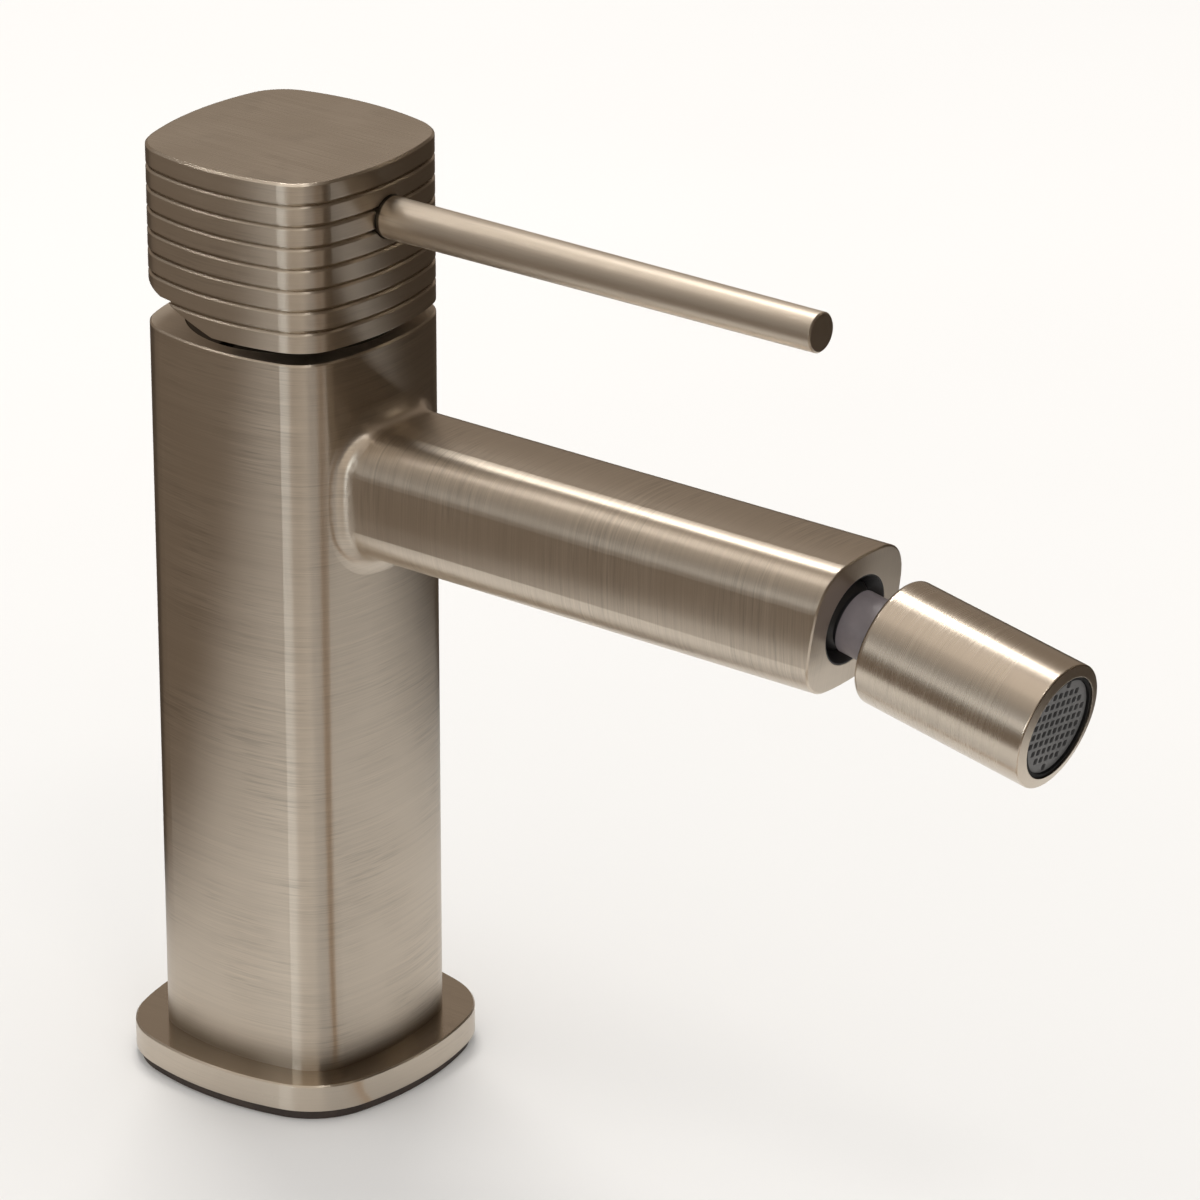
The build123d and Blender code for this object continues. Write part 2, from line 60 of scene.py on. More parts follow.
class Blend(Enum):
    """What a mix node blends: its data type and the places of its inputs and its output."""

    VECTORS = ("VECTOR", 4, 5, 1)
    COLOURS = ("RGBA", 6, 7, 2)


@dataclass(frozen=True)
class Noise:
    """Grey noise by its features per unit, its octaves and the strength of the finer ones."""

    scale: float = 1.0
    detail: float = 2.0
    roughness: float = 0.5


class NodeSheet:
    """Node tree, with a method for each kind of node that the finishes and the world use."""

    def __init__(self, tree: bpy.types.NodeTree) -> None:
        """Start with an empty tree.

        Args:
            tree: The tree.
        """
        self.tree = tree
        self.tree.nodes.clear()

    def add(self, kind: str) -> bpy.types.Node:
        """Add a node.

        Args:
            kind: Blender's type name of the node.

        Returns:
            The new node.
        """
        return self.tree.nodes.new(kind)

    def feed(self, socket: Socket, value: Feed) -> None:
        """Give an input a constant or a link.

        Args:
            socket: The input.
            value: A number, a triple or the output to link.
        """
        if isinstance(value, bpy.types.NodeSocket):
            self.tree.links.new(value, socket)
        elif isinstance(value, tuple) and socket.type == "RGBA":
            socket.default_value = (*value, 1.0)
        else:
            socket.default_value = value

    def place(self) -> Socket:
        """Point on the piece in the model's frame, at rest."""
        return self.add("ShaderNodeTexCoord").outputs["Object"]

    def facing(self) -> Socket:
        """Surface normal in the model's frame, at rest."""
        return self.add("ShaderNodeTexCoord").outputs["Normal"]

    def math(self, operation: str, first: Feed, second: Feed = 0.0) -> Socket:
        """Join two numbers.

        Args:
            operation: Blender's name of the operation.
            first: First number.
            second: Second number.

        Returns:
            The result.
        """
        node = self.add("ShaderNodeMath")
        node.operation = operation
        self.feed(node.inputs[0], first)
        self.feed(node.inputs[1], second)
        return node.outputs[0]

    def centred(self, value: Feed, factor: Feed) -> Socket:
        """Scale how far a number from 0 to 1 lies from the middle.

        Args:
            value: The number.
            factor: The scale.

        Returns:
            The scaled distance.
        """
        return self.math("MULTIPLY", self.math("SUBTRACT", value, 0.5), factor)

    def vector(self, operation: str, first: Feed, second: Feed = (0.0, 0.0, 0.0)) -> Socket:
        """Join two vectors.

        Args:
            operation: Blender's name of the operation.
            first: First vector.
            second: Second vector.

        Returns:
            The resulting vector, or the number of a dot product.
        """
        node = self.add("ShaderNodeVectorMath")
        node.operation = operation
        self.feed(node.inputs[0], first)
        self.feed(node.inputs[1], second)
        return node.outputs["Value"] if operation == "DOT_PRODUCT" else node.outputs["Vector"]

    def length(self, vector: Socket) -> Socket:
        """Length of a vector."""
        return self.math("SQRT", self.vector("DOT_PRODUCT", vector, vector))

    def scaled(self, vector: Feed, factor: Feed) -> Socket:
        """Make a vector longer.

        Args:
            vector: The vector.
            factor: How many times longer.

        Returns:
            The scaled vector.
        """
        node = self.add("ShaderNodeVectorMath")
        node.operation = "SCALE"
        self.feed(node.inputs[0], vector)
        self.feed(node.inputs["Scale"], factor)
        return node.outputs["Vector"]

    def spread(self, value: Feed, span: Span, start: Feed = 0.0, end: Feed = 1.0) -> Socket:
        """Map a number smoothly from one range to another, and hold it at the ends.

        Args:
            value: The number.
            span: Its range.
            start: Result at the range's start.
            end: Result at the range's end.

        Returns:
            The mapped number.
        """
        node = self.add("ShaderNodeMapRange")
        node.interpolation_type = "SMOOTHSTEP"
        node.clamp = True
        names = ("Value", "From Min", "From Max", "To Min", "To Max")
        for name, number in zip(names, (value, *span, start, end)):
            self.feed(node.inputs[name], number)
        return node.outputs["Result"]

    def blend(self, kind: Blend, share: Feed, first: Feed, second: Feed) -> Socket:
        """Blend two vectors or two colours.

        Args:
            kind: What is blended.
            share: Share of the second.
            first: Value at share 0.
            second: Value at share 1.

        Returns:
            The blended value.
        """
        data_type, first_place, second_place, result_place = kind.value
        node = self.add("ShaderNodeMix")
        node.data_type = data_type
        self.feed(node.inputs[0], share)
        self.feed(node.inputs[first_place], first)
        self.feed(node.inputs[second_place], second)
        return node.outputs[result_place]

    def noise(self, place: Feed, kind: Noise) -> Socket:
        """Even grey noise from about 0.2 to 0.8.

        Args:
            place: Point to read it at.
            kind: The noise.

        Returns:
            The noise value.
        """
        node = self.add("ShaderNodeTexNoise")
        node.noise_dimensions = "3D"
        self.feed(node.inputs["Vector"], place)
        self.feed(node.inputs["Scale"], kind.scale)
        self.feed(node.inputs["Detail"], kind.detail)
        self.feed(node.inputs["Roughness"], kind.roughness)
        return node.outputs[0]

    def stretched(self, place: Feed, axis: Feed, along: float, across: float) -> Socket:
        """Scale a point so that noise read there has features of two lengths.

        Args:
            place: The point.
            axis: Unit direction with its own scale.
            along: Scale along that direction.
            across: Scale in the two other directions.

        Returns:
            The scaled point.
        """
        depth = self.vector("DOT_PRODUCT", place, axis)
        extra = self.scaled(axis, self.math("MULTIPLY", depth, along - across))
        return self.vector("ADD", self.scaled(place, across), extra)

    def bump(self, height: Socket, depth: float, normal: Socket | None = None) -> Socket:
        """Turn a height into a surface normal.

        Args:
            height: Height from 0 to 1.
            depth: Real height of 1, in metres.
            normal: Normal to start from.

        Returns:
            The bumped normal.
        """
        node = self.add("ShaderNodeBump")
        node.inputs["Strength"].default_value = 1.0
        node.inputs["Distance"].default_value = depth
        self.feed(node.inputs["Height"], height)
        if normal is not None:
            self.feed(node.inputs["Normal"], normal)
        return node.outputs["Normal"]

    def rounded(self, radius: float) -> Socket:
        """Normal that rounds sharp edges.

        Args:
            radius: Edge radius, in metres.

        Returns:
            The rounded normal.
        """
        node = self.add("ShaderNodeBevel")
        node.samples = BEVEL_SAMPLES
        node.inputs["Radius"].default_value = radius
        return node.outputs["Normal"]

    def seen(self) -> Socket:
        """1 for camera, glossy and transmission rays, and 0 for the rays that light the mixer."""
        rays = self.add("ShaderNodeLightPath").outputs
        direct = self.math("MAXIMUM", rays["Is Camera Ray"], rays["Is Glossy Ray"])
        return self.math("MAXIMUM", direct, rays["Is Transmission Ray"])

    def mixed(self, share: Feed, first: Socket, second: Socket) -> Socket:
        """Mix two shaders.

        Args:
            share: Share of the second.
            first: Shader at share 0.
            second: Shader at share 1.

        Returns:
            The mixed shader.
        """
        node = self.add("ShaderNodeMixShader")
        for socket, value in zip(node.inputs, (share, first, second)):
            self.feed(socket, value)
        return node.outputs[0]

    def close(self, shader: Socket, kind: str = "ShaderNodeOutputMaterial") -> None:
        """Join a shader to the tree's output.

        Args:
            shader: The shader.
            kind: Blender's type name of the output.
        """
        self.feed(self.add(kind).inputs["Surface"], shader)


class FinishSheet(NodeSheet):
    """Node tree of one material."""

    def __init__(self, name: str) -> None:
        """Start an empty material.

        Args:
            name: The material's name.
        """
        self.material = bpy.data.materials.new(name)
        self.material.use_nodes = True
        super().__init__(self.material.node_tree)

    def principled(self, **inputs: Feed) -> Socket:
        """Add the main shader.

        Args:
            **inputs: Values by input name, with underscores for spaces.

        Returns:
            The shader.
        """
        node = self.add("ShaderNodeBsdfPrincipled")
        for name, value in inputs.items():
            self.feed(node.inputs[name.replace("_", " ")], value)
        return node.outputs[0]

    def glow(self, colour: Triple, strength: Feed) -> Socket:
        """Add an emission shader.

        Args:
            colour: Its colour.
            strength: Its strength.

        Returns:
            The shader.
        """
        node = self.add("ShaderNodeEmission")
        self.feed(node.inputs["Color"], colour)
        self.feed(node.inputs["Strength"], strength)
        return node.outputs[0]

    def shader(self, **inputs: Feed) -> None:
        """Add the main shader and join it to the output.

        Args:
            **inputs: Values by input name, with underscores for spaces.
        """
        self.close(self.principled(**inputs))


@dataclass(frozen=True)
class BrushedNickel:
    """Warm nickel with fine brush lines that run around or along the piece's axis."""

    name: str
    axis: Triple
    lay: Lay = Lay.AROUND
    colour: Triple = (0.6, 0.53, 0.445)
    roughness: float = 0.3
    pull: float = 0.92
    grain: float = 0.2
    line_width: float = 0.2 * MM
    line_length: float = 18 * MM
    line_depth: float = 0.0035 * MM
    line_tone: float = 0.12
    mark_length: float = 9 * MM
    mark_width: float = 0.45 * MM
    mark_tone: float = 0.1
    edge_radius: float = 0.15 * MM
    face_roughness: float = 0.36
    face_pull: float = 0.2
    face_span: Span = (0.86, 0.92)
    wear: float = 0.09
    patch: Noise = Noise(45.0, 2.0, 0.55)
    patch_span: Span = (0.35, 0.65)
    patch_least: float = 0.35
    sway: float = 0.7 * MM
    swaying: Noise = Noise(70.0, 1.0)
    broad_across: float = 0.3
    broad_along: float = 0.4
    thin: Noise = Noise(1.0, 3.0, 0.6)
    thin_share: float = 0.65
    mark: Noise = Noise(1.0, 2.0, 0.55)
    mark_span: Span = (0.5, 0.72)
    marked_patch: Span = (0.42, 0.6)

    def axis_feed(self, sheet: FinishSheet) -> Feed:
        """Direction that the brush lines refer to.

        Args:
            sheet: The material's sheet.

        Returns:
            The axis as a constant or a socket.
        """
        return self.axis

    def pull_feed(self, sheet: FinishSheet) -> Feed:
        """How far the brush lines draw highlights out, on the sides.

        Args:
            sheet: The material's sheet.

        Returns:
            The pull as a constant or a socket.
        """
        return self.pull

    def build(self) -> bpy.types.Material:
        """Build the material.

        Returns:
            The finished material.
        """
        sheet = FinishSheet(self.name)
        place = sheet.place()
        facing = sheet.facing()
        axis = self.axis_feed(sheet)
        toward = sheet.math("ABSOLUTE", sheet.vector("DOT_PRODUCT", facing, axis))
        end_face = sheet.spread(toward, self.face_span)
        lines, patches = self.lines(sheet, place, axis, end_face)
        tone = sheet.spread(lines, MOST, 1.0 - self.line_tone, 1.0 + self.line_tone)
        marked = sheet.math("MULTIPLY", tone, self.marks(sheet, place, axis, patches))
        # Painted shade: on the casting's foot and the rod's root, this tone darkens the colour.
        marked_with_painted_shade = sheet.math("MULTIPLY", marked, self.patina_and_painted_shade(sheet, place))
        worn = sheet.centred(patches, self.wear)
        grain = sheet.centred(lines, self.grain)
        base_roughness = sheet.spread(end_face, UNIT, self.roughness, self.face_roughness)
        roughness = sheet.math("ADD", sheet.math("ADD", base_roughness, worn), grain)
        normal = sheet.bump(lines, self.line_depth, sheet.rounded(self.edge_radius))
        sheet.shader(
            Base_Color=sheet.scaled(self.colour, marked_with_painted_shade),
            Metallic=1.0,
            Roughness=roughness,
            Anisotropic=sheet.spread(end_face, UNIT, self.pull_feed(sheet), self.face_pull),
            Normal=normal,
            Tangent=self.tangent(sheet, axis, facing, end_face),
        )
        return sheet.material

    def lines(
        self, sheet: FinishSheet, place: Socket, axis: Feed, end_face: Socket
    ) -> tuple[Socket, Socket]:
        """Brush lines and the broad patches in which they show.

        Args:
            sheet: The material's sheet.
            place: Point on the piece.
            axis: Direction that the lines refer to.
            end_face: 1 on faces square to the axis.

        Returns:
            The line height and the patch value, both from 0 to 1.
        """
        fine, long = 1.0 / self.line_width, 1.0 / self.line_length
        wide, longer = fine * self.broad_across, long * self.broad_along
        if self.lay is Lay.AROUND:
            sway = sheet.math("MULTIPLY", sheet.noise(place, self.swaying), self.sway)
            swayed = sheet.vector("ADD", place, sheet.scaled(axis, sway))
            near = sheet.stretched(swayed, axis, fine, long)
            far = sheet.stretched(swayed, axis, wide, longer)
        else:
            near = sheet.stretched(place, axis, long, fine)
            far = sheet.stretched(place, axis, longer, wide)
        across = sheet.stretched(place, ACROSS, fine, long)
        flat_near = sheet.blend(Blend.VECTORS, end_face, near, across)
        thin = sheet.math("MULTIPLY", sheet.noise(flat_near, self.thin), self.thin_share)
        broad = sheet.math("MULTIPLY", sheet.noise(far, Noise()), 1.0 - self.thin_share)
        patches = sheet.noise(place, self.patch)
        shown = sheet.spread(patches, self.patch_span, self.patch_least)
        height = sheet.centred(sheet.math("ADD", thin, broad), shown)
        return sheet.math("ADD", height, 0.5), patches

    def marks(self, sheet: FinishSheet, place: Socket, axis: Feed, patches: Socket) -> Socket:
        """Tone of the short darker brush marks that gather in patches.

        Args:
            sheet: The material's sheet.
            place: Point on the piece.
            axis: Direction that the lines refer to.
            patches: The patch value.

        Returns:
            The tone, 1 between the marks.
        """
        width, length = 1.0 / self.mark_width, 1.0 / self.mark_length
        along, across = (width, length) if self.lay is Lay.AROUND else (length, width)
        near = sheet.noise(sheet.stretched(place, axis, along, across), self.mark)
        dense = sheet.spread(patches, self.marked_patch)
        dark = sheet.math("MULTIPLY", sheet.spread(near, self.mark_span), dense)
        return sheet.math("SUBTRACT", 1.0, sheet.math("MULTIPLY", dark, self.mark_tone))

    def patina_and_painted_shade(self, sheet: FinishSheet, place: Socket) -> Feed:
        """Painted shade as a tone that darkens the colour; none on a plain piece.

        Args:
            sheet: The material's sheet.
            place: Point on the piece.

        Returns:
            The tone as a constant or a socket.
        """
        return 1.0

    def tangent(self, sheet: FinishSheet, axis: Feed, facing: Socket, end_face: Socket) -> Socket:
        """Direction in which highlights are drawn out, square to the lines.

        Args:
            sheet: The material's sheet.
            axis: Direction that the lines refer to.
            facing: Surface normal at rest.
            end_face: 1 on faces square to the axis.

        Returns:
            The tangent in world space.
        """
        side = axis if self.lay is Lay.AROUND else sheet.vector("CROSS_PRODUCT", axis, facing)
        drawn = sheet.blend(Blend.VECTORS, end_face, side, ACROSS)
        turn = sheet.add("ShaderNodeVectorTransform")
        turn.vector_type = "VECTOR"
        turn.convert_from = "OBJECT"
        turn.convert_to = "WORLD"
        sheet.feed(turn.inputs[0], drawn)
        return turn.outputs[0]


@dataclass(frozen=True)
class CastNickel(BrushedNickel):
    """Brushed nickel of the casting, with lines round the column and round the spout, and painted
    shade at the column's foot.
    """

    spout_axis: Triple = BACKWARD
    root: Span = (-25.0 * MM, -22.8 * MM)
    spout_pull: float = 0.55
    # Painted shade: the colour darkens towards the column's foot, standing in for contact shade
    # near the flange.
    foot: Span = (6.0 * MM, 14.0 * MM)
    foot_shade_tone: float = 0.62

    def spout_share(self, sheet: FinishSheet) -> Socket:
        """Share of the spout: 0 behind its root and 1 in front of it.

        Args:
            sheet: The material's sheet.

        Returns:
            The share.
        """
        depth = sheet.vector("DOT_PRODUCT", sheet.place(), self.spout_axis)
        return sheet.spread(depth, self.root, 1.0, 0.0)

    def axis_feed(self, sheet: FinishSheet) -> Feed:
        """Column axis behind the root and spout axis in front of it.

        Args:
            sheet: The material's sheet.

        Returns:
            The axis as a socket.
        """
        axis = sheet.blend(Blend.VECTORS, self.spout_share(sheet), self.axis, self.spout_axis)
        return sheet.vector("NORMALIZE", axis)

    def pull_feed(self, sheet: FinishSheet) -> Feed:
        """Pull of the column's lines behind the root, and of the spout's in front of it.

        Args:
            sheet: The material's sheet.

        Returns:
            The pull as a socket.
        """
        return sheet.spread(self.spout_share(sheet), UNIT, self.pull, self.spout_pull)

    def patina_and_painted_shade(self, sheet: FinishSheet, place: Socket) -> Feed:
        """Painted shade at the column's foot: the colour darkens towards the flange, standing in
        for contact shade there.

        Args:
            sheet: The material's sheet.
            place: Point on the piece.

        Returns:
            The tone as a socket.
        """
        rise = sheet.vector("DOT_PRODUCT", place, UP)
        return sheet.spread(rise, self.foot, self.foot_shade_tone)


@dataclass(frozen=True)
class RodNickel(BrushedNickel):
    """Brushed nickel of the lever rod, with a painted shade line where it enters the head."""

    # Painted shade: a dark line where the rod enters the head, standing in for the seam's shadow.
    joint: Span = (22.9 * MM, 23.3 * MM)
    joint_shade_tone: float = 0.15

    def patina_and_painted_shade(self, sheet: FinishSheet, place: Socket) -> Feed:
        """Painted shade: a dark line at the rod's root, in the seam with the head.

        Args:
            sheet: The material's sheet.
            place: Point on the piece.

        Returns:
            The tone as a socket.
        """
        reach = sheet.vector("DOT_PRODUCT", place, self.axis)
        return sheet.spread(reach, self.joint, self.joint_shade_tone)


@dataclass(frozen=True)
class MouldedPlastic:
    """Matt moulded plastic or seal rubber with fine grain and faint flow marks."""

    name: str
    colour: Triple
    second_colour: Triple
    roughness: float = 0.45
    shine: float = 0.5
    grain: float = 0.35 * MM
    grain_depth: float = 0.01 * MM
    marks: Noise = Noise(180.0, 3.0, 0.6)
    smoother: float = 0.06
    rougher: float = 0.08

    def build(self) -> bpy.types.Material:
        """Build the material.

        Returns:
            The finished material.
        """
        sheet = FinishSheet(self.name)
        place = sheet.place()
        marks = sheet.noise(place, self.marks)
        fine = sheet.noise(place, Noise(1.0 / self.grain))
        smooth, rough = self.roughness - self.smoother, self.roughness + self.rougher
        sheet.shader(
            Base_Color=self.tint(sheet, place, sheet.spread(marks, MOST)),
            Roughness=sheet.spread(fine, NEARLY_ALL, smooth, rough),
            Specular_IOR_Level=self.shine,
            Normal=sheet.bump(fine, self.grain_depth),
        )
        return sheet.material

    def tint(self, sheet: FinishSheet, place: Socket, marks: Socket) -> Socket:
        """Colour with its flow marks.

        Args:
            sheet: The material's sheet.
            place: Point on the piece.
            marks: Share of the second colour.

        Returns:
            The colour.
        """
        return sheet.blend(Blend.COLOURS, marks, self.colour, self.second_colour)


@dataclass(frozen=True)
class BallPlastic(MouldedPlastic):
    """Moulded plastic of the ball: painted shade on the ball inside the collar, and paler on its
    neck.
    """

    # Painted shade: the ball's near-black colour stands in for the shade inside the collar's
    # recess.
    ball_shade_colour: Triple = (0.012, 0.011, 0.012)
    middle: Triple = (0.0, -117.579 * MM, 120.470 * MM)
    edge: Span = (7.7 * MM, 8.6 * MM)

    def tint(self, sheet: FinishSheet, place: Socket, marks: Socket) -> Socket:
        """Neck colour, turning to the near-black painted shade near the ball's middle.

        Args:
            sheet: The material's sheet.
            place: Point on the piece.
            marks: Share of the second colour.

        Returns:
            The colour.
        """
        neck = super().tint(sheet, place, marks)
        reach = sheet.length(sheet.vector("SUBTRACT", place, self.middle))
        neck_share = sheet.spread(reach, self.edge)
        return sheet.blend(Blend.COLOURS, neck_share, self.ball_shade_colour, neck)


@dataclass(frozen=True)
class GroundMetal:
    """Turned or ground metal of the inner pieces, with rings round its axis."""

    name: str
    colour: Triple
    axis: Triple
    roughness: float = 0.3
    smoother: float = 0.07
    rougher: float = 0.1
    ring_pitch: float = 0.25 * MM
    ring_depth: float = 0.006 * MM
    ring_span: Span = (0.25, 0.75)
    along_scale: float = 60.0
    patina_and_painted_shade: Noise = Noise(120.0, 3.0, 0.6)
    patina_tones: Span = (0.85, 1.08)

    def build(self) -> bpy.types.Material:
        """Build the material.

        Returns:
            The finished material.
        """
        sheet = FinishSheet(self.name)
        place = sheet.place()
        near = sheet.stretched(place, self.axis, 1.0 / self.ring_pitch, self.along_scale)
        rings = sheet.noise(near, Noise())
        patina_and_painted_shade = sheet.noise(place, self.patina_and_painted_shade)
        smooth, rough = self.roughness - self.smoother, self.roughness + self.rougher
        sheet.shader(
            Base_Color=sheet.scaled(self.colour, sheet.spread(patina_and_painted_shade, MOST, *self.patina_tones)),
            Metallic=1.0,
            Roughness=sheet.spread(rings, self.ring_span, smooth, rough),
            Normal=sheet.bump(rings, self.ring_depth),
        )
        return sheet.material


@dataclass(frozen=True)
class Ceramic:
    """Dense white ceramic of the cartridge's discs."""

    name: str
    colour: Triple = (0.78, 0.76, 0.71)
    roughness: float = 0.12
    rougher: float = 0.12
    cloud: Noise = Noise(220.0, 3.0)
    cloud_tones: Span = (0.95, 1.04)
    speck: Noise = Noise(2600.0, 1.0)
    speck_span: Span = (0.3, 0.75)
    speck_depth: float = 0.003 * MM

    def build(self) -> bpy.types.Material:
        """Build the material.

        Returns:
            The finished material.
        """
        sheet = FinishSheet(self.name)
        place = sheet.place()
        cloud = sheet.noise(place, self.cloud)
        specks = sheet.noise(place, self.speck)
        rough = self.roughness + self.rougher
        sheet.shader(
            Base_Color=sheet.scaled(self.colour, sheet.spread(cloud, MOST, *self.cloud_tones)),
            Roughness=sheet.spread(specks, self.speck_span, self.roughness, rough),
            Normal=sheet.bump(specks, self.speck_depth),
        )
        return sheet.material


Finish = BrushedNickel | MouldedPlastic | GroundMetal | Ceramic


class Dresser:
    """Puts finishes on carried-over nodes and reports each one."""

    def __init__(self) -> None:
        """Start with no material built."""
        self.built: dict[str, bpy.types.Material] = {}

    def material(self, finish: Finish) -> bpy.types.Material:
        """Build a finish's material once.

        Args:
            finish: The finish.

        Returns:
            Its material.
        """
        if finish.name not in self.built:
            self.built[finish.name] = finish.build()
        return self.built[finish.name]

    def dress(self, finish: Finish, *nodes: str) -> None:
        """Give nodes a finish.

        Args:
            finish: The finish.
            *nodes: Names of the nodes.
        """
        for name in nodes:
            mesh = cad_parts[name].data
            mesh.materials.clear()
            mesh.materials.append(self.material(finish))
            log.info("dressed %s in %s", name, finish.name)


@dataclass
class ColumnAndFoot:
    """The casting with its foot flange and gasket."""

    casting: CastNickel = CastNickel(name="cast_nickel", axis=UP, roughness=0.33, mark_tone=0.15)
    flange: BrushedNickel = BrushedNickel(
        name="flange_nickel",
        axis=UP,
        face_roughness=0.15,
        line_tone=0.05,
    )
    gasket: MouldedPlastic = MouldedPlastic(
        name="gasket_rubber",
        colour=(0.035, 0.022, 0.016),
        second_colour=(0.055, 0.036, 0.026),
        roughness=0.6,
    )

    def dress(self, dresser: Dresser) -> None:
        """Dress the casting, the flange and the gasket.

        Args:
            dresser: Puts the finishes on.
        """
        dresser.dress(self.casting, "body")
        dresser.dress(self.flange, "base_flange")
        dresser.dress(self.gasket, "base_gasket")


@dataclass
class Handle:
    """The finned head with its lever rod and set screw."""

    head: BrushedNickel = BrushedNickel(
        name="head_nickel",
        axis=UP,
        roughness=0.35,
        line_length=22 * MM,
        line_tone=0.05,
        edge_radius=0.25 * MM,
        face_roughness=0.28,
    )
    rod: RodNickel = RodNickel(
        name="rod_nickel",
        axis=FORWARD,
        lay=Lay.ALONG,
        roughness=0.36,
        line_width=0.3 * MM,
        line_length=30 * MM,
        line_depth=0.0008 * MM,
        line_tone=0.03,
        pull=0.6,
    )
    screw: GroundMetal = GroundMetal(name="screw_steel", colour=(0.3, 0.29, 0.28), axis=BACKWARD)

    def dress(self, dresser: Dresser) -> None:
        """Dress the head, the rod and the set screw.

        Args:
            dresser: Puts the finishes on.
        """
        dresser.dress(self.head, "handle_head")
        dresser.dress(self.rod, "lever_rod")
        dresser.dress(self.screw, "handle_grub_screw")


@dataclass
class Cartridge:
    """The ceramic cartridge, its seals and its ring nut."""

    shell: MouldedPlastic = MouldedPlastic(
        name="cartridge_plastic",
        colour=(0.62, 0.61, 0.58),
        second_colour=(0.7, 0.69, 0.66),
        roughness=0.4,
    )
    yoke: MouldedPlastic = MouldedPlastic(
        name="yoke_plastic",
        colour=(0.05, 0.05, 0.052),
        second_colour=(0.075, 0.075, 0.078),
        roughness=0.42,
    )
    seal: MouldedPlastic = MouldedPlastic(
        name="seal_rubber",
        colour=(0.018, 0.018, 0.018),
        second_colour=(0.03, 0.03, 0.03),
        roughness=0.55,
    )
    disc: Ceramic = Ceramic(name="disc_ceramic")
    # The brass nut's colour is darkened as painted shade: it sits in the shadow under the head.
    nut: GroundMetal = GroundMetal(
        name="nut_brass_in_painted_shade",
        colour=(0.1, 0.078, 0.05),
        axis=UP,
        roughness=0.5,
    )
    steel: GroundMetal = GroundMetal(name="spindle_steel", colour=STEEL, axis=UP, roughness=0.28)
    pin: GroundMetal = GroundMetal(name="pin_steel", colour=STEEL, axis=ACROSS, roughness=0.22)

    def dress(self, dresser: Dresser) -> None:
        """Dress the cartridge's pieces.

        Args:
            dresser: Puts the finishes on.
        """
        dresser.dress(self.shell, "cartridge_housing", "cartridge_base")
        dresser.dress(self.yoke, "turning_yoke", "disc_carrier")
        dresser.dress(self.seal, "housing_seal", "yoke_seal", "port_seals")
        dresser.dress(self.disc, "upper_disc", "lower_disc")
        dresser.dress(self.nut, "cartridge_nut")
        dresser.dress(self.steel, "lever_spindle")
        dresser.dress(self.pin, "spindle_pin")


@dataclass
class BallJoint:
    """The ball, its collar and its seat in the spout's end."""

    collar: MouldedPlastic = MouldedPlastic(
        name="collar_plastic",
        colour=(0.02, 0.019, 0.021),
        second_colour=(0.034, 0.032, 0.035),
        roughness=0.38,
    )
    ball: BallPlastic = BallPlastic(
        name="neck_plastic",
        colour=(0.19, 0.165, 0.172),
        second_colour=(0.23, 0.2, 0.208),
        roughness=0.42,
    )
    seat: MouldedPlastic = MouldedPlastic(
        name="seat_plastic",
        colour=(0.55, 0.55, 0.53),
        second_colour=(0.62, 0.62, 0.6),
        roughness=0.35,
    )

    def dress(self, dresser: Dresser, cartridge: Cartridge) -> None:
        """Dress the ball joint's pieces.

        Args:
            dresser: Puts the finishes on.
            cartridge: Lends its seal rubber.
        """
        dresser.dress(self.collar, "ball_collar")
        dresser.dress(self.ball, "swivel_ball")
        dresser.dress(self.seat, "ball_seat_ring")
        dresser.dress(cartridge.seal, "neck_seal", "aerator_washer")


@dataclass
class Nozzle:
    """The round nozzle with its aerator and outlet grid."""

    dip: float = math.radians(11.3)
    # Black plastic, darkened further as painted shade of the aerator's recess.
    insert: MouldedPlastic = MouldedPlastic(
        name="insert_plastic",
        colour=(0.004, 0.004, 0.004),
        second_colour=(0.008, 0.008, 0.008),
        roughness=0.55,
        shine=0.15,
    )
    grid: MouldedPlastic = MouldedPlastic(
        name="grid_plastic",
        colour=(0.1, 0.098, 0.096),
        second_colour=(0.13, 0.127, 0.124),
        roughness=0.5,
    )

    def direction(self) -> Triple:
        """Direction that the nozzle points in."""
        return (0.0, -math.cos(self.dip), -math.sin(self.dip))

    def dress(self, dresser: Dresser) -> None:
        """Dress the nozzle's pieces.

        Args:
            dresser: Puts the finishes on.
        """
        shell = BrushedNickel(
            name="nozzle_nickel",
            axis=self.direction(),
            roughness=0.26,
            pull=0.2,
            line_length=14 * MM,
            line_tone=0.05,
        )
        dresser.dress(shell, "nozzle_shell")
        dresser.dress(self.insert, "aerator_insert")
        dresser.dress(self.grid, "outlet_grid")
        sieve = GroundMetal(name="sieve_steel", colour=STEEL, axis=self.direction())
        dresser.dress(sieve, "inlet_sieve")


@dataclass
class Lamp:
    """One soft lamp that looks at the mixer."""

    name: str
    azimuth: float
    elevation: float
    width: float
    height: float
    watts: float
    distance: float = 1.6
    colour: Triple = SOFT_WHITE

    def build(self, aim: Vector) -> bpy.types.Object:
        """Build the lamp.

        Args:
            aim: Point that it looks at.

        Returns:
            The lamp object.
        """
        light = bpy.data.lights.new(self.name, "AREA")
        light.shape = "RECTANGLE"
        light.size = self.width
        light.size_y = self.height
        light.energy = self.watts
        light.color = self.colour
        light.cycles.use_multiple_importance_sampling = False
        lamp = bpy.data.objects.new(self.name, light)
        bpy.context.scene.collection.objects.link(lamp)
        toward = outward(self.azimuth, self.elevation)
        lamp.location = aim + toward * self.distance
        lamp.rotation_euler = toward.to_track_quat("Z", "Y").to_euler()
        return lamp


